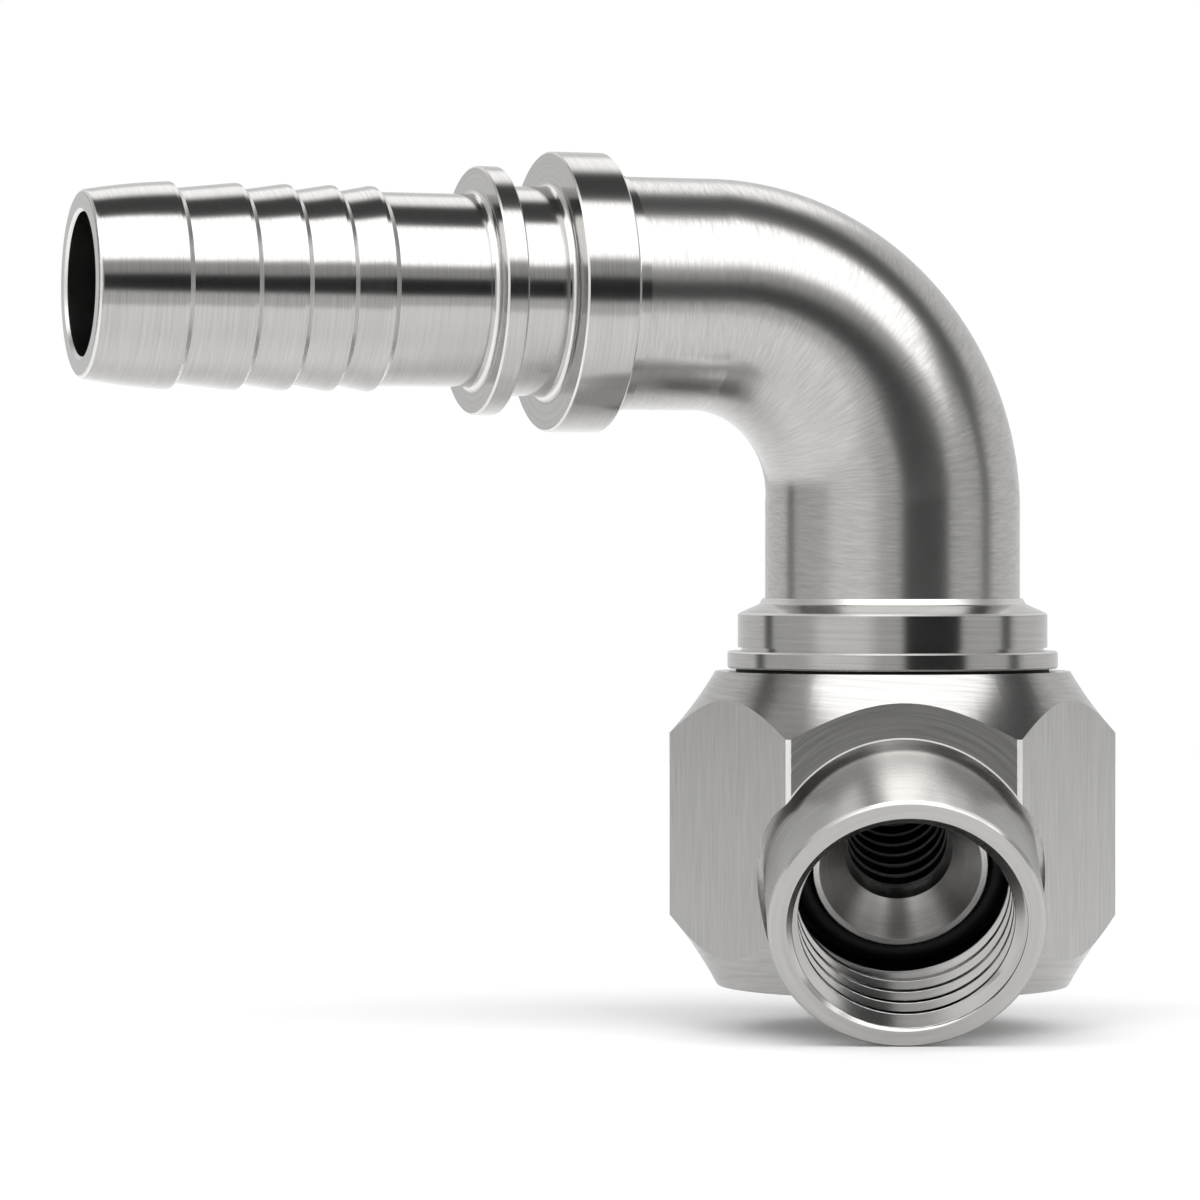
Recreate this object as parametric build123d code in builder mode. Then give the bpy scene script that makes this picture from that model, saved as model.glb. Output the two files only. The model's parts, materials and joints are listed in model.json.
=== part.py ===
from build123d import *
from math import cos, radians, sin, tan
import os

os.makedirs("parts", exist_ok=True)

# Frame, in millimetres: +Z is the swivel axis, the origin is on it at the block's bottom face, and the
# hose tail points along -X. The port faces forward and down, turned a little from -Y towards -X.

# Driving dimensions: hose tail, with stations measured from the leg's axis out along the tail
tail_bore_radius = 4.8
tip_radius = 6.2
tip_edge_radius = 0.35
tip_bore_chamfer = 0.2
barb_crest_radius = 6.875
barb_root_radius = 6.45
barb_crest_land = 0.25
barb_back_length = 0.4
first_barb_length = 5.9
first_barb_bulge = 0.09
barb_pitches = (4.6, 3.4, 3.1, 2.8)
land_radius = 6.5
land_length = 7.2
thin_ring_radius = 8.4
thin_ring_width = 1.5
lock_groove_radius = 7.1
lock_groove_width = 3.7
collar_rise = 1.57
collar_width = 3.7
ring_root_fillet = 0.5
ring_edge_chamfer = 0.12
nipple_hub_length = 1.2
nipple_hub_rise = 0.2

# Driving dimensions: bent tube, with the straight lengths from the bend to the nipple and to the spigot
bend_radius = 14.2
tail_straight_length = 6.1
leg_straight_length = 6.65
bend_steps = 6
tube_tail_radius = 7.93
tube_leg_radius = 8.83
tube_wall = 3.1
tenon_length = 3.0
tenon_step = 1.35
joint_clearance = 0.03

# Driving dimensions: swivel spigot, heights measured up from the block's top face
flange_gap = 0.2
flange_rise = 0.72
flange_thickness = 1.2
flange_root_height = 0.25
shoulder_rise = 1.9
shoulder_height = 2.4
shoulder_edge_chamfer = 0.14
hub_cone_height = 0.6
hub_rise = 0.17
hub_taper = 0.25
hub_height = 0.4
journal_bore_step = 1.33
journal_wall = 2.55
journal_length = 7.4
journal_lead_in = 0.5
running_clearance = 0.06

# Driving dimensions: snap ring, seal and backup ring in the journal
snap_wire_radius = 0.58
snap_ring_depth = 2.6
snap_groove_clearance = 0.08
snap_ring_opening = 24.0
seal_groove_depth = 1.4
seal_groove_width = 2.3
seal_land = 1.0
seal_clearance = 0.03
backup_thickness = 0.75

# Driving dimensions: hexagon block
hex_across_flats = 27.0
corner_radius = 15.48
block_height = 21.7
top_rim_width = 1.42
top_chamfer_height = 4.3
bottom_face_radius = 12.2
bottom_chamfer_height = 4.8
chamfer_hollow = 0.18

# Driving dimensions: dust seal in the block's top
dust_seal_inset = 0.6
dust_seal_width = 3.4
dust_seal_body = 0.6
dust_seal_recess = 1.0
dust_seal_lip_width = 0.4
dust_seal_clearance = 0.05

# Driving dimensions: port, with depths measured inward along its axis from the sleeve's end face
port_heading = 18.0
port_tilt = 24.5
port_set_back = 9.89
port_height = 5.2
sleeve_radius = 9.25
sleeve_edge_chamfer = 0.2
sleeve_shoulder_depth = 8.35
sleeve_tenon_radius = 8.9
sleeve_tenon_length = 2.65
recess_clearance = 0.45
thread_minor_radius = 7.19
thread_major_radius = 8.0
thread_end_depth = 6.9
thread_relief_radius = 8.1
thread_relief_chamfer = 0.5
sleeve_lip_thickness = 1.1

# Driving dimensions: seat insert and its seals
nose_depth = 8.2
nose_radius = 6.0
nose_edge_chamfer = 0.12
seat_outer_radius = 5.5
seat_mouth_radius = 3.67
seat_half_angle = 37.0
insert_flange_radius = 7.0
insert_flange_thickness = 1.15
insert_seal_radius = 5.1
insert_seal_groove_width = 1.0
insert_seal_groove_depth = 0.75
port_seal_wire_radius = 0.7

# Driving dimensions: stepped flow passage behind the seat
passage_radius = 3.4
passage_step_count = 6
passage_step_length = 1.4
passage_step_drop = 0.05
passage_ring_depth = 0.22
passage_ring_width = 0.5
drill_point_angle = 59.0

# Radii of the tube's bore, of its turned ends and of what is turned to suit them
tail_tube_bore = tube_tail_radius - tube_wall
leg_tube_bore = tube_leg_radius - tube_wall
tail_tenon_radius = tube_tail_radius - tenon_step
leg_tenon_radius = tube_leg_radius - tenon_step
hub_outer_radius = tube_tail_radius + nipple_hub_rise
collar_radius = tube_tail_radius + collar_rise
hub_radius = tube_leg_radius + hub_rise
shoulder_radius = tube_leg_radius + shoulder_rise
flange_radius = shoulder_radius + flange_rise
journal_bore_radius = leg_tube_bore - journal_bore_step
journal_radius = journal_bore_radius + journal_wall
swivel_bore_radius = journal_radius + running_clearance
dust_seal_radius = flange_radius - dust_seal_inset
dust_recess_radius = dust_seal_radius + joint_clearance
top_face_radius = dust_recess_radius + top_rim_width

# Plane and axis of the port, whose face stands a set distance out from the swivel bore's wall
port_reach = swivel_bore_radius + port_set_back
forward = Vector(-sin(radians(port_heading)), -cos(radians(port_heading)), 0)
port_face_centre = forward * port_reach + Vector(0, 0, port_height)
port_inward = Vector(0, 0, sin(radians(port_tilt))) - forward * cos(radians(port_tilt))
port_upward = Vector(0, 0, cos(radians(port_tilt))) + forward * sin(radians(port_tilt))
port_plane = Plane(origin=port_face_centre, x_dir=port_inward, z_dir=port_inward.cross(port_upward))
port_axis = Axis(port_face_centre, port_inward)

# Heights on the swivel axis
flange_underside = block_height + flange_gap
flange_top = flange_underside + flange_thickness
shoulder_base = flange_top + flange_root_height
shoulder_top = shoulder_base + shoulder_height
hub_cone_top = shoulder_top + hub_cone_height
hub_top = hub_cone_top + hub_height
tail_height = hub_top + leg_straight_length + bend_radius
journal_end = flange_underside - journal_length
swivel_bore_floor = journal_end - flange_gap
snap_ring_height = flange_underside - snap_ring_depth
snap_groove_half = snap_wire_radius + snap_groove_clearance
snap_ring_centre_radius = journal_radius
spigot_snap_radius = journal_radius - 2 * snap_groove_half
block_snap_radius = snap_ring_centre_radius + snap_wire_radius + 2 * snap_groove_clearance
seal_groove_bottom = journal_end + seal_land
seal_groove_top = seal_groove_bottom + seal_groove_width
seal_groove_radius = journal_radius - seal_groove_depth
dust_recess_floor = block_height - dust_seal_recess
dust_seal_top = flange_underside - dust_seal_clearance

# Axis and stations of the hose tail
tail_centre = Vector(0, 0, tail_height)
tail_outward = Vector(-1, 0, 0)
tail_plane = Plane(origin=tail_centre, x_dir=tail_outward, z_dir=(0, 1, 0))
tail_axis = Axis(tail_centre, tail_outward)
hub_station = bend_radius + tail_straight_length
collar_station = hub_station + nipple_hub_length
collar_front = collar_station + collar_width
thin_ring_rear = collar_front + lock_groove_width
thin_ring_front = thin_ring_rear + thin_ring_width
last_crest = thin_ring_front + land_length
first_crest = last_crest + sum(barb_pitches)
tip_station = first_crest + first_barb_length

# Depths along the port axis
sleeve_end_depth = sleeve_shoulder_depth + sleeve_tenon_length
lip_front_depth = sleeve_end_depth - sleeve_lip_thickness
insert_end_depth = sleeve_end_depth + joint_clearance + insert_flange_thickness
seat_mouth_depth = nose_depth + (seat_outer_radius - seat_mouth_radius) / tan(radians(seat_half_angle))
mouth_chamfer_depth = thread_major_radius - thread_minor_radius
port_crossing_height = port_height + port_reach * tan(radians(port_tilt))

# How closely an edge has to match when it is picked by its place and radius
match_tolerance = 0.01


def circles_at(part, point, radius):
    """Circular edges of one radius whose centre lies at a point."""
    circles = part.edges().filter_by(GeomType.CIRCLE)
    same_size = circles.filter_by(lambda edge: abs(edge.radius - radius) < match_tolerance)
    return same_size.filter_by(lambda edge: (edge.arc_center - point).length < match_tolerance)


def on_tail(station):
    """Point on the hose tail's axis at a distance from the leg's axis."""
    return tail_centre + tail_outward * station


def on_swivel(height):
    """Point on the swivel axis."""
    return Vector(0, 0, height)


# Turned hose nipple: barbs, ferrule ring, lock groove and collar
barb_outline = [(last_crest - barb_back_length, land_radius), (last_crest, barb_crest_radius)]
crest_station = last_crest
for pitch in reversed(barb_pitches):
    barb_outline.append((crest_station + barb_crest_land, barb_crest_radius))
    crest_station = crest_station + pitch
    barb_outline.append((crest_station - barb_back_length, barb_root_radius))
    barb_outline.append((crest_station, barb_crest_radius))
first_land_end = (crest_station + barb_crest_land, barb_crest_radius)
barb_outline.append(first_land_end)
bulge_station = (first_land_end[0] + tip_station) / 2
bulge_radius = (barb_crest_radius + tip_radius) / 2 + first_barb_bulge

with BuildPart() as hose_nipple:
    with BuildSketch(tail_plane):
        with BuildLine():
            Polyline(
                (hub_station, 0),
                (hub_station, hub_outer_radius),
                (collar_station, hub_outer_radius),
                (collar_station, collar_radius),
                (collar_front, collar_radius),
                (collar_front, lock_groove_radius),
                (thin_ring_rear, lock_groove_radius),
                (thin_ring_rear, thin_ring_radius),
                (thin_ring_front, thin_ring_radius),
                (thin_ring_front, land_radius),
                *barb_outline,
            )
            ThreePointArc(first_land_end, (bulge_station, bulge_radius), (tip_station, tip_radius))
            Polyline((tip_station, tip_radius), (tip_station, 0), (hub_station, 0))
        make_face()
    revolve(axis=tail_axis)
    fillet(circles_at(hose_nipple, on_tail(collar_station), hub_outer_radius), ring_root_fillet)
    fillet(circles_at(hose_nipple, on_tail(collar_front), lock_groove_radius), ring_root_fillet)
    fillet(circles_at(hose_nipple, on_tail(thin_ring_front), land_radius), ring_root_fillet)
    for station, radius in (
        (collar_station, collar_radius),
        (collar_front, collar_radius),
        (thin_ring_rear, thin_ring_radius),
        (thin_ring_front, thin_ring_radius),
    ):
        chamfer(circles_at(hose_nipple, on_tail(station), radius), ring_edge_chamfer)
    fillet(circles_at(hose_nipple, on_tail(tip_station), tip_radius), tip_edge_radius)
    with BuildSketch(Plane(origin=on_tail(tip_station), z_dir=-tail_outward)):
        Circle(tail_bore_radius)
    extrude(amount=tip_station - hub_station, mode=Mode.SUBTRACT)
    with BuildSketch(Plane(origin=on_tail(hub_station), z_dir=tail_outward)):
        Circle(tail_tenon_radius + joint_clearance)
    extrude(amount=tenon_length + joint_clearance, mode=Mode.SUBTRACT)
    chamfer(circles_at(hose_nipple, on_tail(tip_station), tail_bore_radius), tip_bore_chamfer)
hose_nipple.part.label = "hose_nipple"
export_step(hose_nipple.part, "parts/hose_nipple.step")


# Bent tube, wider at the leg, with a turned tenon at each end
bend_centre = on_tail(bend_radius) - Vector(0, 0, bend_radius)


def across_bend(angle):
    """Plane across the tube's bend, at an angle from the tail's end."""
    outward = Vector(sin(radians(angle)), 0, cos(radians(angle)))
    along = Vector(cos(radians(angle)), 0, -sin(radians(angle)))
    return Plane(origin=bend_centre + outward * bend_radius, x_dir=(0, 1, 0), z_dir=along)


with BuildPart() as elbow_tube:
    for tail_radius, leg_radius, tail_end_radius, leg_end_radius, mode in (
        (tube_tail_radius, tube_leg_radius, tail_tenon_radius, leg_tenon_radius, Mode.ADD),
        (tail_tube_bore, leg_tube_bore, tail_tube_bore, leg_tube_bore, Mode.SUBTRACT),
    ):
        for step in range(bend_steps + 1):
            share = step / bend_steps
            with BuildSketch(across_bend(90 * share)):
                Circle(tail_radius + (leg_radius - tail_radius) * share)
        loft(mode=mode)
        with BuildSketch(across_bend(0)):
            Circle(tail_radius)
        extrude(amount=-tail_straight_length, mode=mode)
        with BuildSketch(across_bend(90)):
            Circle(leg_radius)
        extrude(amount=leg_straight_length, mode=mode)
        with BuildSketch(Plane(origin=on_tail(hub_station), z_dir=tail_outward)):
            Circle(tail_end_radius)
        extrude(amount=tenon_length, mode=mode)
        with BuildSketch(Plane(origin=on_swivel(hub_top), z_dir=(0, 0, -1))):
            Circle(leg_end_radius)
        extrude(amount=tenon_length, mode=mode)
elbow_tube.part.label = "elbow_tube"
export_step(elbow_tube.part, "parts/elbow_tube.step")


# Swivel spigot: tube socket, shoulder, thin flange and grooved journal
socket_floor = hub_top - tenon_length - joint_clearance
with BuildPart() as swivel_spigot:
    with BuildSketch(Plane.XZ):
        with BuildLine():
            Polyline(
                (journal_bore_radius, journal_end),
                (journal_radius - journal_lead_in, journal_end),
                (journal_radius, journal_end + journal_lead_in),
                (journal_radius, seal_groove_bottom),
                (seal_groove_radius, seal_groove_bottom),
                (seal_groove_radius, seal_groove_top),
                (journal_radius, seal_groove_top),
                (journal_radius, snap_ring_height - snap_groove_half),
                (spigot_snap_radius, snap_ring_height - snap_groove_half),
                (spigot_snap_radius, snap_ring_height + snap_groove_half),
                (journal_radius, snap_ring_height + snap_groove_half),
                (journal_radius, flange_underside),
                (flange_radius, flange_underside),
                (flange_radius, flange_top),
                (shoulder_radius - flange_root_height, flange_top),
                (shoulder_radius - flange_root_height, shoulder_base),
                (shoulder_radius, shoulder_base),
                (shoulder_radius, shoulder_top - shoulder_edge_chamfer),
                (shoulder_radius - shoulder_edge_chamfer, shoulder_top),
                (hub_radius + hub_taper, hub_cone_top),
                (hub_radius, hub_top),
                (leg_tenon_radius + joint_clearance, hub_top),
                (leg_tenon_radius + joint_clearance, socket_floor),
                (leg_tube_bore, socket_floor),
                (journal_bore_radius, socket_floor - (leg_tube_bore - journal_bore_radius)),
                (journal_bore_radius, journal_end),
            )
        make_face()
    revolve(axis=Axis.Z)
    for height in (flange_underside, flange_top):
        chamfer(circles_at(swivel_spigot, on_swivel(height), flange_radius), ring_edge_chamfer)
swivel_spigot.part.label = "swivel_spigot"
export_step(swivel_spigot.part, "parts/swivel_spigot.step")


# Open wire ring that sits half in the journal's groove and half in the block's
with BuildPart() as snap_ring:
    with BuildSketch(Plane.XZ):
        with Locations((snap_ring_centre_radius, snap_ring_height)):
            Circle(snap_wire_radius)
    revolve(axis=Axis.Z, revolution_arc=360 - snap_ring_opening)
snap_ring.part.label = "snap_ring"
export_step(snap_ring.part, "parts/snap_ring.step")


# Pressure seal at the bottom of the journal's wide groove
journal_seal_radius = (swivel_bore_radius - seal_groove_radius) / 2 - seal_clearance
with BuildPart() as journal_o_ring:
    with BuildSketch(Plane.XZ):
        with Locations((seal_groove_radius + seal_clearance + journal_seal_radius,
                        seal_groove_bottom + seal_clearance + journal_seal_radius)):
            Circle(journal_seal_radius)
    revolve(axis=Axis.Z)
journal_o_ring.part.label = "journal_o_ring"
export_step(journal_o_ring.part, "parts/journal_o_ring.step")


# Flat support ring above the pressure seal
with BuildPart() as backup_ring:
    with BuildSketch(Plane(origin=on_swivel(seal_groove_top - seal_clearance), z_dir=(0, 0, -1))):
        Circle(swivel_bore_radius - seal_clearance)
        Circle(seal_groove_radius + seal_clearance, mode=Mode.SUBTRACT)
    extrude(amount=backup_thickness)
backup_ring.part.label = "backup_ring"
export_step(backup_ring.part, "parts/backup_ring.step")


# Hexagon block: chamfered bar, swivel bore from above and inclined port bore from the front. Behind the
# seat the bore goes on as a flow passage in short steps, with a turned ring after each
recess_radius = sleeve_radius + recess_clearance
open_depth = -2 * port_reach
top_chamfer_middle = (
    (corner_radius + top_face_radius) / 2 - chamfer_hollow,
    block_height - top_chamfer_height / 2,
)
bottom_chamfer_middle = (
    (corner_radius + bottom_face_radius) / 2 - chamfer_hollow,
    bottom_chamfer_height / 2,
)
with BuildPart() as hex_block:
    with BuildSketch(Plane.XY):
        RegularPolygon(hex_across_flats / 2, side_count=6, major_radius=False, rotation=-port_heading)
    extrude(amount=block_height)
    with BuildSketch(Plane.XZ):
        with BuildLine():
            bottom_corner = (corner_radius, bottom_chamfer_height)
            top_corner = (corner_radius, block_height - top_chamfer_height)
            ThreePointArc((bottom_face_radius, 0), bottom_chamfer_middle, bottom_corner)
            Line(bottom_corner, top_corner)
            ThreePointArc(top_corner, top_chamfer_middle, (top_face_radius, block_height))
            Polyline((top_face_radius, block_height), (0, block_height), (0, 0), (bottom_face_radius, 0))
        make_face()
    revolve(axis=Axis.Z, mode=Mode.INTERSECT)
    with BuildSketch(Plane.XZ):
        with BuildLine():
            Polyline(
                (0, port_crossing_height - journal_bore_radius / tan(radians(drill_point_angle))),
                (journal_bore_radius, port_crossing_height),
                (journal_bore_radius, swivel_bore_floor),
                (swivel_bore_radius, swivel_bore_floor),
                (swivel_bore_radius, snap_ring_height - snap_groove_half),
                (block_snap_radius, snap_ring_height - snap_groove_half),
                (block_snap_radius, snap_ring_height + snap_groove_half),
                (swivel_bore_radius, snap_ring_height + snap_groove_half),
                (swivel_bore_radius, dust_recess_floor),
                (dust_recess_radius, dust_recess_floor),
                (dust_recess_radius, block_height),
                (0, block_height),
                (0, port_crossing_height - journal_bore_radius / tan(radians(drill_point_angle))),
            )
        make_face()
    revolve(axis=Axis.Z, mode=Mode.SUBTRACT)
    with BuildSketch(port_plane):
        with BuildLine():
            Polyline(
                (open_depth, recess_radius),
                (sleeve_shoulder_depth, recess_radius),
                (sleeve_shoulder_depth, sleeve_tenon_radius + joint_clearance),
                (sleeve_end_depth, sleeve_tenon_radius + joint_clearance),
                (sleeve_end_depth, insert_flange_radius + joint_clearance),
                (insert_end_depth, insert_flange_radius + joint_clearance),
                (insert_end_depth, passage_radius),
            )
            step_start = insert_end_depth
            step_radius = passage_radius
            for step in range(passage_step_count):
                step_end = step_start + passage_step_length
                next_radius = step_radius - passage_step_drop
                ring_start = (step_end - passage_ring_width, step_radius)
                ring_crest = (step_end - passage_ring_width / 2, step_radius + passage_ring_depth)
                Line((step_start, step_radius), ring_start)
                ThreePointArc(ring_start, ring_crest, (step_end, next_radius))
                step_start = step_end
                step_radius = next_radius
            passage_end = step_start + step_radius / tan(radians(drill_point_angle))
            Polyline((step_start, step_radius), (passage_end, 0), (open_depth, 0), (open_depth, recess_radius))
        make_face()
    revolve(axis=port_axis, mode=Mode.SUBTRACT)
hex_block.part.label = "hex_block"
export_step(hex_block.part, "parts/hex_block.step")


# Dust seal: flat ring with a lip that reaches up to the flange
with BuildPart() as dust_seal:
    seal_inner_radius = dust_seal_radius - dust_seal_width
    lip_base = dust_recess_floor + dust_seal_body
    with BuildSketch(Plane.XZ):
        with BuildLine():
            Polyline(
                (seal_inner_radius, dust_recess_floor),
                (dust_seal_radius, dust_recess_floor),
                (dust_seal_radius, dust_seal_top),
                (dust_seal_radius - dust_seal_lip_width, dust_seal_top),
                (dust_seal_radius - 2 * dust_seal_lip_width, lip_base),
                (seal_inner_radius, lip_base),
                (seal_inner_radius, dust_recess_floor),
            )
        make_face()
    revolve(axis=Axis.Z)
dust_seal.part.label = "dust_seal"
export_step(dust_seal.part, "parts/dust_seal.step")


# Port sleeve: threaded mouth, relief behind the thread, and a lip that clamps the seat insert
with BuildPart() as port_sleeve:
    with BuildSketch(port_plane):
        with BuildLine():
            Polyline(
                (0, thread_major_radius),
                (mouth_chamfer_depth, thread_minor_radius),
                (thread_end_depth, thread_minor_radius),
                (thread_end_depth + thread_relief_chamfer, thread_relief_radius),
                (lip_front_depth, thread_relief_radius),
                (lip_front_depth, nose_radius + joint_clearance),
                (sleeve_end_depth, nose_radius + joint_clearance),
                (sleeve_end_depth, sleeve_tenon_radius),
                (sleeve_shoulder_depth, sleeve_tenon_radius),
                (sleeve_shoulder_depth, sleeve_radius),
                (sleeve_edge_chamfer, sleeve_radius),
                (0, sleeve_radius - sleeve_edge_chamfer),
                (0, thread_major_radius),
            )
        make_face()
    revolve(axis=port_axis)
port_sleeve.part.label = "port_sleeve"
export_step(port_sleeve.part, "parts/port_sleeve.step")


# Seat insert: nose with the concave cone seat, and the flange clamped behind the sleeve's lip
insert_front = sleeve_end_depth + joint_clearance
seal_groove_floor = insert_end_depth - insert_seal_groove_depth
seal_inner = insert_seal_radius - insert_seal_groove_width / 2
seal_outer = insert_seal_radius + insert_seal_groove_width / 2
with BuildPart() as seat_insert:
    with BuildSketch(port_plane):
        with BuildLine():
            Polyline(
                (nose_depth, seat_outer_radius),
                (seat_mouth_depth, seat_mouth_radius),
                (insert_end_depth, seat_mouth_radius),
                (insert_end_depth, seal_inner),
                (seal_groove_floor, seal_inner),
                (seal_groove_floor, seal_outer),
                (insert_end_depth, seal_outer),
                (insert_end_depth, insert_flange_radius),
                (insert_front, insert_flange_radius),
                (insert_front, nose_radius),
                (nose_depth + nose_edge_chamfer, nose_radius),
                (nose_depth, nose_radius - nose_edge_chamfer),
                (nose_depth, seat_outer_radius),
            )
        make_face()
    revolve(axis=port_axis)
seat_insert.part.label = "seat_insert"
export_step(seat_insert.part, "parts/seat_insert.step")


# Face seal in the groove of the insert's rear face
insert_seal_wire_radius = insert_seal_groove_depth / 2
with BuildPart() as insert_o_ring:
    with BuildSketch(port_plane):
        with Locations((insert_end_depth - insert_seal_wire_radius, insert_seal_radius)):
            Circle(insert_seal_wire_radius - joint_clearance)
    revolve(axis=port_axis)
insert_o_ring.part.label = "insert_o_ring"
export_step(insert_o_ring.part, "parts/insert_o_ring.step")


# Black seal ring round the nose, resting on the sleeve's lip
with BuildPart() as port_o_ring:
    with BuildSketch(port_plane):
        with Locations((lip_front_depth - joint_clearance - port_seal_wire_radius,
                        nose_radius + joint_clearance + port_seal_wire_radius)):
            Circle(port_seal_wire_radius)
    revolve(axis=port_axis)
port_o_ring.part.label = "port_o_ring"
export_step(port_o_ring.part, "parts/port_o_ring.step")
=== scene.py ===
import json
import math
from typing import NamedTuple

import bpy
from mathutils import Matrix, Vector


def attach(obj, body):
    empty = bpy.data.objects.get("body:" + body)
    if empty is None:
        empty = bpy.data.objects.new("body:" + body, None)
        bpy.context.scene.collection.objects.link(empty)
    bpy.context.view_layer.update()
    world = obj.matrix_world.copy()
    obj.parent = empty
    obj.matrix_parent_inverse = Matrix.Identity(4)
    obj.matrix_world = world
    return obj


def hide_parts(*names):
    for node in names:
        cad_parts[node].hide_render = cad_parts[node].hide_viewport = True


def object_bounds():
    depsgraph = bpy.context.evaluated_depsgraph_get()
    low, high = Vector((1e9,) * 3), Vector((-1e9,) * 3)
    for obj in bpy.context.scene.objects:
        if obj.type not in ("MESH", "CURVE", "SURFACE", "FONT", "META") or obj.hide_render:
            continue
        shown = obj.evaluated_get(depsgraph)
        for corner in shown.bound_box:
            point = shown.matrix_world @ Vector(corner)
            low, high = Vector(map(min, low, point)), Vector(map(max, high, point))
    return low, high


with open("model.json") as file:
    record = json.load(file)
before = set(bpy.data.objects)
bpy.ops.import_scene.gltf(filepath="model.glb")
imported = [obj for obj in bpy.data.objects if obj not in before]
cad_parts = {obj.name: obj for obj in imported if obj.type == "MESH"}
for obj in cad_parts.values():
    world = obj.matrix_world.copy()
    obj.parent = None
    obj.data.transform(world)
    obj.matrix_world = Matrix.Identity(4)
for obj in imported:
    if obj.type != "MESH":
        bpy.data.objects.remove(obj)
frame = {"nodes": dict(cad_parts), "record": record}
cad_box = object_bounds()

MM = 0.001
nodes = frame["nodes"]
mounts = {mount["name"]: mount for mount in frame["record"]["mounts"]}

# The camera stands level in front of the port, as in the photograph, in the photograph's 1200 px frame
CAMERA_AZIMUTH = math.radians(-18)
FRAME_PIXELS = 1200
FOCAL_PIXELS = 5000
OPTICAL_ROW = 560
SENSOR_WIDTH = 36.0
CAMERA_DISTANCE = 347.2 * MM
CAMERA_LEFT = 20.3 * MM
CAMERA_HEIGHT = 29.4 * MM
CAMERA_NEAR = 10 * MM

TOWARD_CAMERA = Vector((math.sin(CAMERA_AZIMUTH), -math.cos(CAMERA_AZIMUTH), 0))
CAMERA_RIGHT = Vector((math.cos(CAMERA_AZIMUTH), math.sin(CAMERA_AZIMUTH), 0))
UP = Vector((0, 0, 1))

# Axes that the turned pieces share; the port's axis points out of its mouth, forward and down
SWIVEL_POINT = Vector((0, 0, 0))
TAIL_POINT = Vector(mounts["hose_tail"]["pos_m"])
TAIL_AXIS = Vector(mounts["hose_tail"]["axis"]).normalized()
PORT_POINT = Vector(mounts["port_thread"]["pos_m"])
PORT_AXIS = Vector(mounts["port_thread"]["axis"]).normalized()
if PORT_AXIS.z > 0:
    PORT_AXIS = -PORT_AXIS
PORT_SIDE = UP.cross(PORT_AXIS).normalized()
PORT_UPWARD = PORT_AXIS.cross(PORT_SIDE)
PORT_FRONT = Vector((PORT_AXIS.x, PORT_AXIS.y, 0)).normalized()

# Bent tube's centre line
BEND_RADIUS = 14.2 * MM
BEND_CENTRE_HEIGHT = TAIL_POINT.z - BEND_RADIUS

# Port sleeve, with depths measured inward from its end face, as in the part's source
THREAD_PITCH = 1.5 * MM
THREAD_MINOR = 7.19 * MM
THREAD_MAJOR = 8.0 * MM
THREAD_END = 6.9 * MM
RELIEF_START = 7.4 * MM
RELIEF_RADIUS = 8.1 * MM
LIP_DEPTH = 9.9 * MM
LIP_RADIUS = 6.03 * MM
SLEEVE_END = 11.0 * MM
TENON_RADIUS = 8.9 * MM
SHOULDER_DEPTH = 8.35 * MM
SLEEVE_RADIUS = 9.25 * MM
SLEEVE_CHAMFER = 0.2 * MM

# The sleeve's outline from the lip behind the relief round its outside to the end face
SLEEVE_OUTLINE = (
    (LIP_DEPTH, RELIEF_RADIUS),
    (LIP_DEPTH, LIP_RADIUS),
    (SLEEVE_END, LIP_RADIUS),
    (SLEEVE_END, TENON_RADIUS),
    (SHOULDER_DEPTH, TENON_RADIUS),
    (SHOULDER_DEPTH, SLEEVE_RADIUS),
    (SLEEVE_CHAMFER, SLEEVE_RADIUS),
    (0.0, SLEEVE_RADIUS - SLEEVE_CHAMFER),
)

# Flat parts of the thread's profile, as shares of its pitch, and the fineness of the sleeve's mesh
CREST_SHARE = 0.25
ROOT_SHARE = 0.125
DEPTH_STEP = 0.03 * MM
STEPS_ROUND = 240
SHARP_ANGLE = math.radians(24)


def add_camera():
    """Camera of the photograph's view, with the lens shifted to its optical row."""
    data = bpy.data.cameras.new("camera")
    data.sensor_width = SENSOR_WIDTH
    data.lens = SENSOR_WIDTH * FOCAL_PIXELS / FRAME_PIXELS
    data.shift_y = (OPTICAL_ROW - FRAME_PIXELS / 2) / FRAME_PIXELS
    data.clip_start = CAMERA_NEAR
    camera = bpy.data.objects.new("camera", data)
    camera.location = TOWARD_CAMERA * CAMERA_DISTANCE - CAMERA_RIGHT * CAMERA_LEFT + UP * CAMERA_HEIGHT
    camera.rotation_euler = (math.radians(90), 0, CAMERA_AZIMUTH)
    bpy.context.scene.collection.objects.link(camera)
    bpy.context.scene.camera = camera


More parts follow.
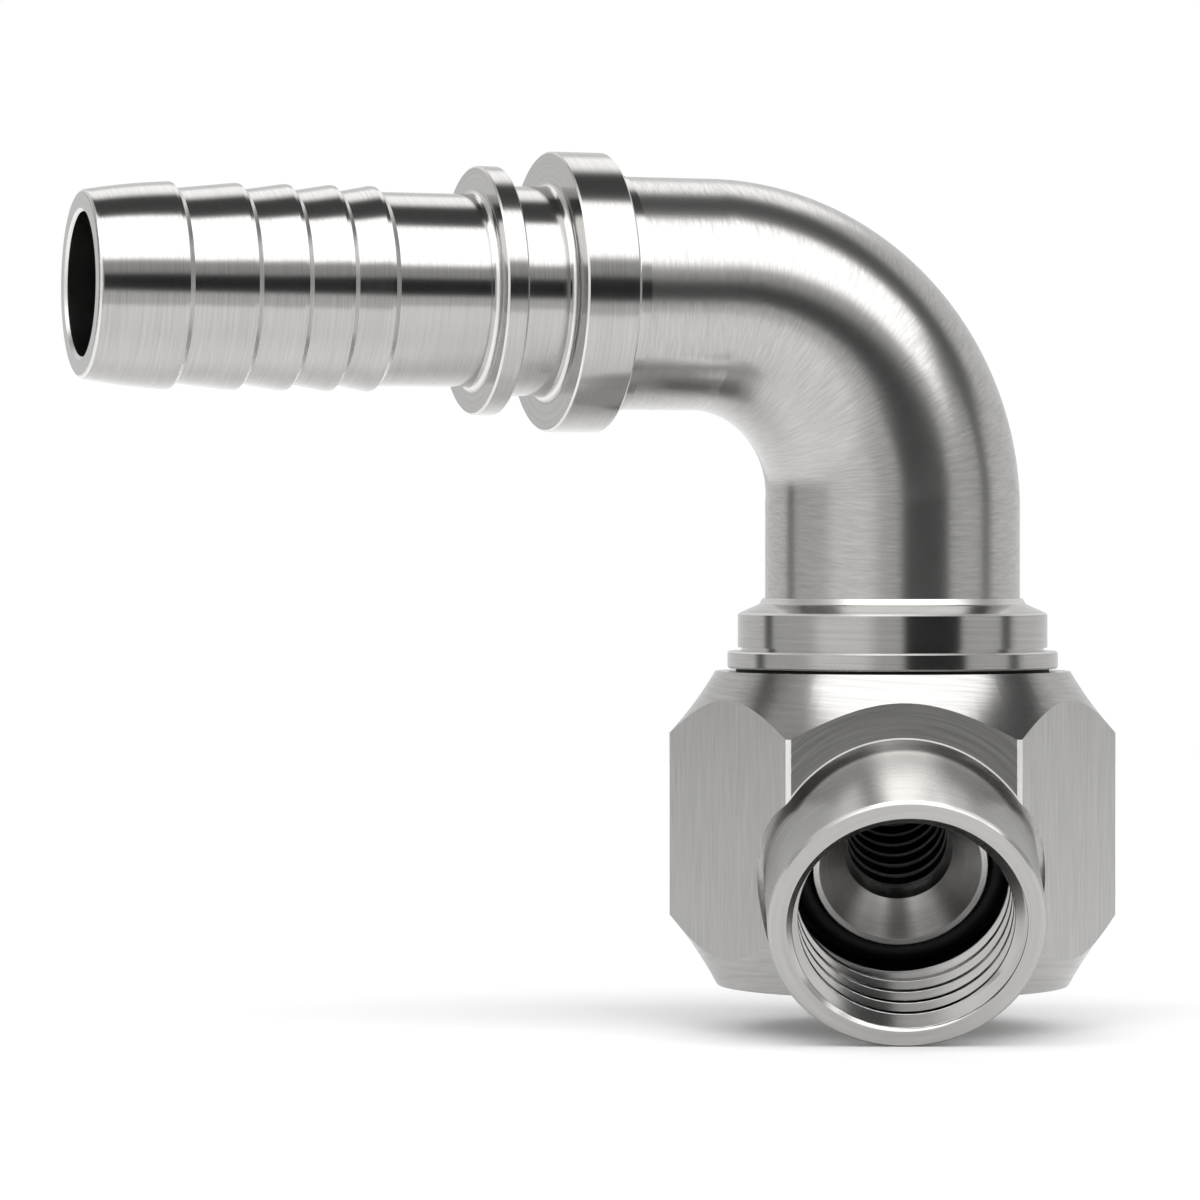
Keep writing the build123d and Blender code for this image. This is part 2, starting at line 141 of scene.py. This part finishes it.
class Graph:
    """Short calls for adding nodes to one node tree."""

    def __init__(self, tree):
        self.tree = tree
        tree.nodes.clear()

    def node(self, kind, **settings):
        """New node with some of its settings."""
        made = self.tree.nodes.new(kind)
        for name, value in settings.items():
            setattr(made, name, value)
        return made

    def feed(self, socket, value):
        """Links an output to a socket, or sets the socket to a constant."""
        if isinstance(value, bpy.types.NodeSocket):
            self.tree.links.new(value, socket)
        else:
            socket.default_value = value

    def math(self, operation, first, second=0.0):
        made = self.node("ShaderNodeMath", operation=operation)
        self.feed(made.inputs[0], first)
        self.feed(made.inputs[1], second)
        return made.outputs[0]

    def vector(self, operation, first, second=(0, 0, 0)):
        made = self.node("ShaderNodeVectorMath", operation=operation)
        self.feed(made.inputs[0], first)
        self.feed(made.inputs[1], second)
        return made.outputs["Value" if operation in ("DOT_PRODUCT", "LENGTH") else "Vector"]

    def scaled(self, vector, factor):
        made = self.node("ShaderNodeVectorMath", operation="SCALE")
        self.feed(made.inputs[0], vector)
        self.feed(made.inputs["Scale"], factor)
        return made.outputs["Vector"]

    def split(self, vector):
        made = self.node("ShaderNodeSeparateXYZ")
        self.feed(made.inputs[0], vector)
        return made.outputs[0], made.outputs[1], made.outputs[2]

    def combine(self, x, y, z):
        made = self.node("ShaderNodeCombineXYZ")
        for socket, value in zip(made.inputs, (x, y, z)):
            self.feed(socket, value)
        return made.outputs[0]

    def smooth(self, value, low, high, to_low=0.0, to_high=1.0):
        """Goes smoothly from to_low to to_high while value goes from low to high."""
        made = self.node("ShaderNodeMapRange", interpolation_type="SMOOTHSTEP")
        for socket, given in zip(made.inputs, (value, low, high, to_low, to_high)):
            self.feed(socket, given)
        return made.outputs[0]

    def fade(self, value, low, high):
        """1 where value is below low, 0 where it is above high."""
        return self.smooth(value, low, high, 1.0, 0.0)

    def mix(self, share, first, second):
        """first where share is 0, second where it is 1."""
        made = self.node("ShaderNodeMix", data_type="FLOAT")
        self.feed(made.inputs[0], share)
        self.feed(made.inputs[2], first)
        self.feed(made.inputs[3], second)
        return made.outputs[0]

    def noise(self, vector, width, detail, roughness):
        """Noise between 0 and 1 whose marks are about as wide as width."""
        made = self.node("ShaderNodeTexNoise", noise_dimensions="3D")
        self.feed(made.inputs["Vector"], vector)
        self.feed(made.inputs["Scale"], 1 / width)
        self.feed(made.inputs["Detail"], detail)
        self.feed(made.inputs["Roughness"], roughness)
        return made.outputs["Fac"]


class Card(NamedTuple):
    """Card of the studio: angles in degrees, azimuth from the camera to its right, softness as a slope."""

    azimuth: float
    elevation: float
    half_width: float
    half_height: float
    softness: float
    brightness: float


# A card covers the earlier ones where they overlap
STUDIO_BRIGHTNESS = 0.60
STUDIO_CARDS = (
    Card(0, -42, 75, 32, 0.08, 0.72),  # lit table in front
    Card(180, 20, 80, 30, 0.30, 0.80),  # pale wall behind
    Card(-85, 44, 20, 26, 0.15, 0.08),  # dark card high on the left
    Card(88, 44, 20, 26, 0.15, 0.10),  # dark card high on the right
    Card(180, 80, 75, 17, 0.10, 0.08),  # dark ceiling
    Card(180, 47, 24, 12, 0.12, 1.70),  # back light
    Card(0, 55, 62, 28, 0.06, 2.40),  # main light above the camera
    Card(-40, 4, 22, 22, 0.15, 0.95),  # fill light on the left
    Card(24, 16, 26, 9, 0.06, 0.45),  # grey band above the dark one
    Card(27, 0, 22, 10, 0.05, 0.02),  # dark band beside the camera
    Card(-108, 2, 5, 26, 0.05, 0.10),  # dark strip on the left
    Card(90, 2, 5, 26, 0.05, 0.12),  # dark strip on the right
)
BACKGROUND_BRIGHTNESS = 1.0

# Least cosine between a direction and a card's middle at which the direction can meet the card
CARD_FACING = 0.02


def add_studio():
    """World light: plain white for the camera, and large soft and dark cards for light and reflections."""
    world = bpy.data.worlds.new("studio")
    world.use_nodes = True
    bpy.context.scene.world = world
    graph = Graph(world.node_tree)
    direction = graph.node("ShaderNodeTexCoord").outputs["Generated"]
    light = STUDIO_BRIGHTNESS
    for card in STUDIO_CARDS:
        turn = math.radians(card.azimuth)
        rise = math.radians(card.elevation)
        level = TOWARD_CAMERA * math.cos(turn) + CAMERA_RIGHT * math.sin(turn)
        normal = level * math.cos(rise) + UP * math.sin(rise)
        side = UP.cross(level)
        upward = normal.cross(side)
        ahead = graph.vector("DOT_PRODUCT", direction, normal)
        depth = graph.math("MAXIMUM", ahead, CARD_FACING)
        share = graph.math("GREATER_THAN", ahead, CARD_FACING)
        for across, half_angle in ((side, card.half_width), (upward, card.half_height)):
            slope = graph.math("DIVIDE", graph.vector("DOT_PRODUCT", direction, across), depth)
            edge = math.tan(math.radians(half_angle))
            within = graph.fade(graph.math("ABSOLUTE", slope), edge - card.softness, edge + card.softness)
            share = graph.math("MULTIPLY", share, within)
        light = graph.mix(share, light, card.brightness)
    camera_ray = graph.node("ShaderNodeLightPath").outputs["Is Camera Ray"]
    background = graph.node("ShaderNodeBackground")
    graph.feed(background.inputs["Color"], (1, 1, 1, 1))
    graph.feed(background.inputs["Strength"], graph.mix(camera_ray, light, BACKGROUND_BRIGHTNESS))
    output = graph.node("ShaderNodeOutputWorld")
    graph.feed(output.inputs["Surface"], background.outputs[0])


# The floor reaches from just in front of the picture's lower edge to well behind the object. It glows a
# little, so that it runs into the white background
FLOOR_FRONT = 120 * MM
FLOOR_BACK = 450 * MM
FLOOR_SIDE = 300 * MM
FLOOR_WHITE = 0.94
FLOOR_ROUGHNESS = 0.9
FLOOR_SHINE = 0.1
FLOOR_GLOW = 0.05


def add_floor():
    """Plain white floor at the lowest point of the port sleeve."""
    mesh = bpy.data.meshes.new("floor")
    low = UP * cad_box[0].z
    corners = (
        (FLOOR_FRONT, -FLOOR_SIDE),
        (FLOOR_FRONT, FLOOR_SIDE),
        (-FLOOR_BACK, FLOOR_SIDE),
        (-FLOOR_BACK, -FLOOR_SIDE),
    )
    vertices = [low + TOWARD_CAMERA * ahead + CAMERA_RIGHT * aside for ahead, aside in corners]
    mesh.from_pydata([vertex[:] for vertex in vertices], [], [(0, 1, 2, 3)])
    floor = bpy.data.objects.new("floor", mesh)
    bpy.context.scene.collection.objects.link(floor)
    material = bpy.data.materials.new("floor_white")
    material.use_nodes = True
    shader = material.node_tree.nodes["Principled BSDF"]
    shader.inputs["Base Color"].default_value = (FLOOR_WHITE, FLOOR_WHITE, FLOOR_WHITE, 1)
    shader.inputs["Roughness"].default_value = FLOOR_ROUGHNESS
    shader.inputs["Specular IOR Level"].default_value = FLOOR_SHINE
    shader.inputs["Emission Color"].default_value = (1, 1, 1, 1)
    shader.inputs["Emission Strength"].default_value = FLOOR_GLOW
    mesh.materials.append(material)


class Finish(NamedTuple):
    """Worked steel: how light and how rough it is, and its fine lines. A low streak makes long lines."""

    brightness: float
    roughness: float
    contrast: float
    line_depth: float
    line_width: float
    streak: float


class Patch(NamedTuple):
    """Brightness and roughness of one area of a piece, where they differ from the rest."""

    brightness: float
    roughness: float


STEEL_TINT = (1.0, 0.985, 0.965)

# Roughness that a line adds where it takes away all the brightness, and in proportion elsewhere
LINE_ROUGHNESS = 0.15


def finish_steel(graph, lines, brightness, roughness, contrast, line_depth):
    """Steel whose colour, roughness and fine relief all follow one pattern of lines."""
    swing = graph.math("MULTIPLY", graph.math("SUBTRACT", lines, 0.5), contrast)
    level = graph.math("MULTIPLY", brightness, graph.math("ADD", swing, 1.0))
    colour = graph.combine(*(graph.math("MULTIPLY", level, tint) for tint in STEEL_TINT))
    bump = graph.node("ShaderNodeBump")
    graph.feed(bump.inputs["Height"], lines)
    graph.feed(bump.inputs["Distance"], line_depth)
    graph.feed(bump.inputs["Strength"], 1.0)
    shader = graph.node("ShaderNodeBsdfPrincipled")
    graph.feed(shader.inputs["Base Color"], colour)
    graph.feed(shader.inputs["Metallic"], 1.0)
    roughening = graph.math("MULTIPLY", swing, -LINE_ROUGHNESS)
    graph.feed(shader.inputs["Roughness"], graph.math("ADD", roughness, roughening))
    graph.feed(shader.inputs["Normal"], bump.outputs[0])
    output = graph.node("ShaderNodeOutputMaterial")
    graph.feed(output.inputs["Surface"], shader.outputs[0])


def start_material(name):
    """New material, its node graph, and the node that gives a point's place and normal."""
    material = bpy.data.materials.new(name)
    material.use_nodes = True
    graph = Graph(material.node_tree)
    return material, graph, graph.node("ShaderNodeTexCoord")


def round_axis(graph, position, point, axis):
    """Distance along an axis from a point on it, distance out from it, and the offset from the point."""
    offset = graph.vector("SUBTRACT", position, point)
    along = graph.vector("DOT_PRODUCT", offset, axis)
    radial = graph.vector("LENGTH", graph.vector("SUBTRACT", offset, graph.scaled(axis, along)))
    return along, radial, offset


def share_towards(graph, offset, radial, direction):
    """How far a point lies from an axis in one direction, as a share of its whole distance from the axis."""
    return graph.math("DIVIDE", graph.vector("DOT_PRODUCT", offset, direction), radial)


def turned_lines(graph, along, radial, offset, finish):
    """Lines round an axis that fade in and out over part of a turn."""
    drift = graph.scaled(offset, finish.streak)
    place = graph.vector("ADD", graph.combine(along, radial, 0.0), drift)
    return graph.noise(place, finish.line_width, detail=3, roughness=0.65)


TURNED = Finish(brightness=0.47, roughness=0.15, contrast=0.50,
                line_depth=0.0015 * MM, line_width=0.11 * MM, streak=0.02)
SPRING = TURNED._replace(brightness=0.50, roughness=0.30)

# Here and below, a pair of values is where an area's soft edge starts and where it ends. The share of the
# normal that lies along the axis tells slanting edges, which get a painted highlight, from end faces and from
# outsides
SLANT_FROM = (0.40, 0.55)
SLANT_TO = (0.80, 0.92)
# Brightness and roughness of the painted highlight on slanting edges
SLANTING_EDGE_HIGHLIGHT = Patch(brightness=0.75, roughness=0.35)


def turned_steel(name, point, axis, finish):
    """Turned steel with fine lines round one axis, and a painted highlight on its slanting edges."""
    material, graph, place = start_material(name)
    along, radial, offset = round_axis(graph, place.outputs["Object"], point, axis)
    lines = turned_lines(graph, along, radial, offset, finish)
    slant = graph.math("ABSOLUTE", graph.vector("DOT_PRODUCT", place.outputs["Normal"], axis))
    # Painted highlight: slanting edges are made brighter in colour
    edge = graph.math("MULTIPLY", graph.smooth(slant, *SLANT_FROM), graph.fade(slant, *SLANT_TO))
    brightness = graph.mix(edge, finish.brightness, SLANTING_EDGE_HIGHLIGHT.brightness)
    roughness = graph.mix(edge, finish.roughness, SLANTING_EDGE_HIGHLIGHT.roughness)
    finish_steel(graph, lines, brightness, roughness, finish.contrast, finish.line_depth)
    return material


# The tube's scratches run across its centre line; the finer hair lines among them lie slanted
TUBE = Finish(brightness=0.48, roughness=0.22, contrast=0.85,
              line_depth=0.003 * MM, line_width=0.20 * MM, streak=0.10)
HAIR_WIDTH = 0.16 * MM
HAIR_SLANT = 0.25
HAIR_SHARE = 0.4


def tube_steel(name):
    """Brushed tube: fine scratches across the centre line, which bends from the tail to the leg."""
    material, graph, place = start_material(name)
    x, y, z = graph.split(place.outputs["Object"])
    over = graph.math("ADD", x, BEND_RADIUS)
    above = graph.math("SUBTRACT", z, BEND_CENTRE_HEIGHT)
    angle = graph.math("ARCTAN2", graph.math("MAXIMUM", over, 0.0), graph.math("MAXIMUM", above, 0.0))
    station = graph.math("MULTIPLY", angle, BEND_RADIUS)
    station = graph.math("SUBTRACT", station, graph.math("MINIMUM", over, 0.0))
    station = graph.math("SUBTRACT", station, graph.math("MINIMUM", above, 0.0))
    across = graph.math("MULTIPLY", y, TUBE.streak)
    reach = graph.math("MULTIPLY", graph.vector("LENGTH", graph.combine(over, 0.0, above)), TUBE.streak)
    slanted = graph.math("ADD", station, graph.math("MULTIPLY", y, HAIR_SLANT))
    scratches = graph.noise(graph.combine(station, across, reach), TUBE.line_width, detail=4, roughness=0.7)
    hair = graph.noise(graph.combine(slanted, across, reach), HAIR_WIDTH, detail=2, roughness=0.6)
    lines = graph.mix(HAIR_SHARE, scratches, hair)
    finish_steel(graph, lines, TUBE.brightness, TUBE.roughness, TUBE.contrast, TUBE.line_depth)
    return material


# Hexagon block: its turned chamfers, its brushed side flats and the flat that is turned round the port
CHAMFER = Finish(brightness=0.44, roughness=0.20, contrast=0.60,
                 line_depth=0.002 * MM, line_width=0.25 * MM, streak=0.08)
SIDE_FLAT = CHAMFER._replace(brightness=0.42, roughness=0.34, contrast=0.80,
                             line_width=0.16 * MM, streak=0.03)
# The port flat has its own turned finish, and its low brightness is painted shade on that face
PORT_FLAT = CHAMFER._replace(brightness=0.24, roughness=0.36, contrast=1.30,
                             line_width=0.28 * MM, streak=0.05)
# Brightness and roughness of the painted highlight on the block's edges
BLOCK_EDGE_HIGHLIGHT = Patch(brightness=0.78, roughness=0.50)
# Painted shade inside the flow passage
PASSAGE_PAINTED_SHADE = Patch(brightness=0.07, roughness=0.45)

# Flats are told from chamfers by how little their normals rise, and the port flat by how nearly its normal
# points to the port's front
FLAT_RISE = (0.10, 0.20)
PORT_FACING = (0.97, 0.99)

# Painted highlights on edges: the block's turned corners, from the swivel's axis, and the rim of the recess
# round the sleeve, from the port's axis
CORNER_HIGHLIGHT_FROM = (15.46 * MM, 15.47 * MM)
RIM_HIGHLIGHT_FROM = (9.69 * MM, 9.70 * MM)
RIM_HIGHLIGHT_TO = (9.79 * MM, 9.817 * MM)

# Painted shade fills the flow passage, which lies within these distances from the port's axis and from the
# swivel's
PASSAGE_WIDTH = (4.6 * MM, 5.2 * MM)
PASSAGE_REACH = (12.4 * MM, 12.9 * MM)


def block_steel(name):
    """Bright bar: brushed flats, turned chamfers, painted highlights on the edges, a port flat turned round
    the port with painted shade, and painted shade in the flow passage.
    """
    material, graph, place = start_material(name)
    position = place.outputs["Object"]
    normal = place.outputs["Normal"]
    x, y, z = graph.split(position)
    flat = graph.fade(graph.math("ABSOLUTE", graph.split(normal)[2]), *FLAT_RISE)
    port_side = graph.smooth(graph.vector("DOT_PRODUCT", normal, PORT_FRONT), *PORT_FACING)

    def by_face(chamfer, side_flat, port_flat):
        """The value that belongs to a point's kind of face."""
        return graph.mix(flat, chamfer, graph.mix(port_side, side_flat, port_flat))

    along, radial, offset = round_axis(graph, position, SWIVEL_POINT, UP)
    _, port_radial, port_offset = round_axis(graph, position, PORT_POINT, PORT_AXIS)
    rings = turned_lines(graph, along, radial, offset, CHAMFER)
    upright = graph.combine(x, y, graph.math("MULTIPLY", z, SIDE_FLAT.streak))
    brushed = graph.noise(upright, SIDE_FLAT.line_width, detail=4, roughness=0.75)
    arcs = turned_lines(graph, port_radial, port_radial, port_offset, PORT_FLAT)
    lines = by_face(rings, brushed, arcs)
    # Painted highlights along the turned corners and the rim of the recess
    corner = graph.math("MULTIPLY", flat, graph.smooth(radial, *CORNER_HIGHLIGHT_FROM))
    rim_highlight = graph.math("MULTIPLY", graph.smooth(port_radial, *RIM_HIGHLIGHT_FROM), graph.fade(port_radial, *RIM_HIGHLIGHT_TO))
    edge = graph.math("MAXIMUM", corner, graph.math("MULTIPLY", rim_highlight, port_side))
    # Painted shade inside the flow passage, near both axes
    near_port_axis = graph.fade(port_radial, *PASSAGE_WIDTH)
    passage_shade = graph.math("MULTIPLY", near_port_axis, graph.fade(radial, *PASSAGE_REACH))
    # The port flat's lower brightness is painted shade
    brightness = by_face(CHAMFER.brightness, SIDE_FLAT.brightness, PORT_FLAT.brightness)
    brightness = graph.mix(edge, brightness, BLOCK_EDGE_HIGHLIGHT.brightness)
    brightness = graph.mix(passage_shade, brightness, PASSAGE_PAINTED_SHADE.brightness)
    roughness = by_face(CHAMFER.roughness, SIDE_FLAT.roughness, PORT_FLAT.roughness)
    roughness = graph.mix(edge, roughness, BLOCK_EDGE_HIGHLIGHT.roughness)
    roughness = graph.mix(passage_shade, roughness, PASSAGE_PAINTED_SHADE.roughness)
    contrast = by_face(CHAMFER.contrast, SIDE_FLAT.contrast, PORT_FLAT.contrast)
    finish_steel(graph, lines, brightness, roughness, contrast, CHAMFER.line_depth)
    return material


SEAT = Finish(brightness=0.72, roughness=0.34, contrast=0.50,
              line_depth=0.002 * MM, line_width=0.16 * MM, streak=0.05)

# The cone lies within these distances from the port's axis, and the nose's rim outside them
CONE_REACH = (5.45 * MM, 5.50 * MM)

# Painted reflection rays across the cone: its brightness straight above and below the axis, and then each
# change on the way round to its sides. A change has the sideways shares of the radius where it starts and
# ends, and its size
CONE_PAINTED_BRIGHTNESS = 0.36
PAINTED_RAYS = (
    (0.04, 0.30, 0.60),
    (0.48, 0.75, -0.64),
    (0.80, 1.00, 0.32),
)


def seat_steel(name):
    """Turned seat with fine rings, and painted reflection rays across its cone that follow the sideways share
    of the radius.
    """
    material, graph, place = start_material(name)
    along, radial, offset = round_axis(graph, place.outputs["Object"], PORT_POINT, PORT_AXIS)
    sideways = graph.math("ABSOLUTE", share_towards(graph, offset, radial, PORT_SIDE))
    # Painted reflection rays, by the sideways share of the radius round the port's axis
    painted_rays = CONE_PAINTED_BRIGHTNESS
    for start, end, change in PAINTED_RAYS:
        painted_rays = graph.math("ADD", painted_rays, graph.smooth(sideways, start, end, 0.0, change))
    brightness = graph.mix(graph.fade(radial, *CONE_REACH), SEAT.brightness, painted_rays)
    lines = turned_lines(graph, along, radial, offset, SEAT)
    finish_steel(graph, lines, brightness, SEAT.roughness, SEAT.contrast, SEAT.line_depth)
    return material


SLEEVE = Finish(brightness=0.46, roughness=0.16, contrast=0.35,
                line_depth=0.002 * MM, line_width=0.35 * MM, streak=0.03)
# Painted shade in the relief behind the thread
SLEEVE_RELIEF_SHADE = Patch(brightness=0.03, roughness=0.50)
SLEEVE_OUTSIDE = Patch(brightness=0.38, roughness=0.28)
# Painted highlight along the top of the sleeve's outside
PAINTED_GLARE_BRIGHTNESS = 0.98

# The painted shade in the relief starts at these depths and lies within these radii; the outside starts at
# these radii
RELIEF_SHADE_FROM = (6.75 * MM, 7.1 * MM)
RELIEF_SHADE_REACH = (8.2 * MM, 8.4 * MM)
OUTSIDE_FROM = (9.1 * MM, 9.2 * MM)

# The painted highlight lies along the sleeve's top, within shares of its radius sideways and above shares
# upward
PAINTED_GLARE_SIDEWAYS = (0.10, 0.34)
PAINTED_GLARE_UPWARD = (0.3, 0.8)


def sleeve_steel(name):
    """Turned sleeve with painted shade in the relief behind its thread, and a painted highlight along the top
    of its outside.
    """
    material, graph, place = start_material(name)
    depth, radial, offset = round_axis(graph, place.outputs["Object"], sleeve_face(), -PORT_AXIS)
    lines = turned_lines(graph, depth, radial, offset, SLEEVE)
    # Painted shade in the relief behind the thread
    relief_shade = graph.math("MULTIPLY", graph.smooth(depth, *RELIEF_SHADE_FROM), graph.fade(radial, *RELIEF_SHADE_REACH))
    outside = graph.smooth(radial, *OUTSIDE_FROM)
    upward = share_towards(graph, offset, radial, PORT_UPWARD)
    sideways = graph.math("ABSOLUTE", share_towards(graph, offset, radial, PORT_SIDE))
    # Painted highlight along the top of the outside
    painted_glare = graph.math("MULTIPLY", graph.fade(sideways, *PAINTED_GLARE_SIDEWAYS), graph.smooth(upward, *PAINTED_GLARE_UPWARD))
    brightness = graph.mix(relief_shade, SLEEVE.brightness, SLEEVE_RELIEF_SHADE.brightness)
    brightness = graph.mix(outside, brightness, graph.mix(painted_glare, SLEEVE_OUTSIDE.brightness, PAINTED_GLARE_BRIGHTNESS))
    roughness = graph.mix(relief_shade, SLEEVE.roughness, SLEEVE_RELIEF_SHADE.roughness)
    roughness = graph.mix(outside, roughness, SLEEVE_OUTSIDE.roughness)
    finish_steel(graph, lines, brightness, roughness, SLEEVE.contrast, SLEEVE.line_depth)
    return material


GRAIN_WIDTH = 0.3 * MM
GRAIN_ROUGHNESS = 0.06
RUBBER_SHINE = 0.3


def rubber(name, brightness, roughness):
    """Plain rubber or plastic with a faint moulded grain."""
    material, graph, place = start_material(name)
    grain = graph.noise(place.outputs["Object"], GRAIN_WIDTH, detail=2, roughness=0.5)
    shader = graph.node("ShaderNodeBsdfPrincipled")
    graph.feed(shader.inputs["Base Color"], (brightness, brightness, brightness, 1))
    grained = graph.mix(grain, roughness - GRAIN_ROUGHNESS, roughness + GRAIN_ROUGHNESS)
    graph.feed(shader.inputs["Roughness"], grained)
    graph.feed(shader.inputs["Specular IOR Level"], RUBBER_SHINE)
    output = graph.node("ShaderNodeOutputMaterial")
    graph.feed(output.inputs["Surface"], shader.outputs[0])
    return material


def sleeve_face():
    """Centre of the sleeve's end face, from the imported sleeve's furthest point along the port's axis."""
    sleeve = nodes["port_sleeve"]
    furthest = max((sleeve.matrix_world @ v.co - PORT_POINT).dot(PORT_AXIS) for v in sleeve.data.vertices)
    return PORT_POINT + PORT_AXIS * furthest


def bore_radius(depth, turn):
    """Radius of the threaded bore at a depth and a share of a turn, with its mouth chamfer and runout."""
    phase = (depth / THREAD_PITCH - turn) % 1.0
    from_root = abs(phase - 0.5) * 2
    rise = (1 - CREST_SHARE - from_root) / (1 - CREST_SHARE - ROOT_SHARE)
    thread = THREAD_MINOR + (THREAD_MAJOR - THREAD_MINOR) * min(max(rise, 0.0), 1.0)
    mouth = THREAD_MAJOR - depth
    runout = (depth - THREAD_END) / (RELIEF_START - THREAD_END)
    return max(thread, mouth, THREAD_MINOR + (RELIEF_RADIUS - THREAD_MINOR) * runout)


def add_threaded_sleeve(material):
    """Port sleeve with its real internal thread, in place of the plain packed sleeve."""
    face = sleeve_face()
    steps = round(RELIEF_START / DEPTH_STEP)
    thread_depths = [RELIEF_START * step / steps for step in range(steps + 1)]
    vertices = []
    for place in range(STEPS_ROUND):
        turn = place / STEPS_ROUND
        angle = 2 * math.pi * turn
        out = PORT_UPWARD * math.sin(angle) - PORT_SIDE * math.cos(angle)
        for depth in thread_depths:
            vertices.append(face - PORT_AXIS * depth + out * bore_radius(depth, turn))
        for depth, radius in SLEEVE_OUTLINE:
            vertices.append(face - PORT_AXIS * depth + out * radius)
    rows = len(thread_depths) + len(SLEEVE_OUTLINE)
    faces = []
    for place in range(STEPS_ROUND):
        here = place * rows
        there = (place + 1) % STEPS_ROUND * rows
        for row in range(rows):
            following = (row + 1) % rows
            faces.append((here + row, there + row, there + following, here + following))
    mesh = bpy.data.meshes.new("threaded_sleeve")
    mesh.from_pydata([vertex[:] for vertex in vertices], [], faces)
    mesh.shade_smooth()
    mesh.set_sharp_from_angle(angle=SHARP_ANGLE)
    # The rows within the thread stay smooth, because its flanks cross them at a slant
    for edge in mesh.edges:
        ends = [vertex % rows for vertex in edge.vertices]
        if min(ends) > 0 and max(ends) < len(thread_depths):
            edge.use_edge_sharp = False
    mesh.materials.append(material)
    sleeve = bpy.data.objects.new("threaded_sleeve", mesh)
    bpy.context.scene.collection.objects.link(sleeve)
    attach(sleeve, "block")
    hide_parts("port_sleeve")


def dress(node_name, material):
    """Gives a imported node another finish."""
    for slot in nodes[node_name].material_slots:
        slot.material = material


add_camera()
add_studio()
add_floor()
add_threaded_sleeve(sleeve_steel("sleeve_steel"))
dress("hex_block", block_steel("block_steel"))
dress("swivel_spigot", turned_steel("spigot_steel", SWIVEL_POINT, UP, TURNED))
dress("elbow_tube", tube_steel("tube_steel"))
dress("hose_nipple", turned_steel("tail_steel", TAIL_POINT, TAIL_AXIS, TURNED))
dress("seat_insert", seat_steel("seat_steel"))
black = rubber("seal_black", brightness=0.004, roughness=0.62)
for seal in ("port_o_ring", "insert_o_ring", "dust_seal", "journal_o_ring"):
    dress(seal, black)
dress("backup_ring", rubber("support_white", brightness=0.75, roughness=0.45))
dress("snap_ring", turned_steel("spring_steel", SWIVEL_POINT, UP, SPRING))

bpy.context.scene.view_settings.view_transform = "Standard"
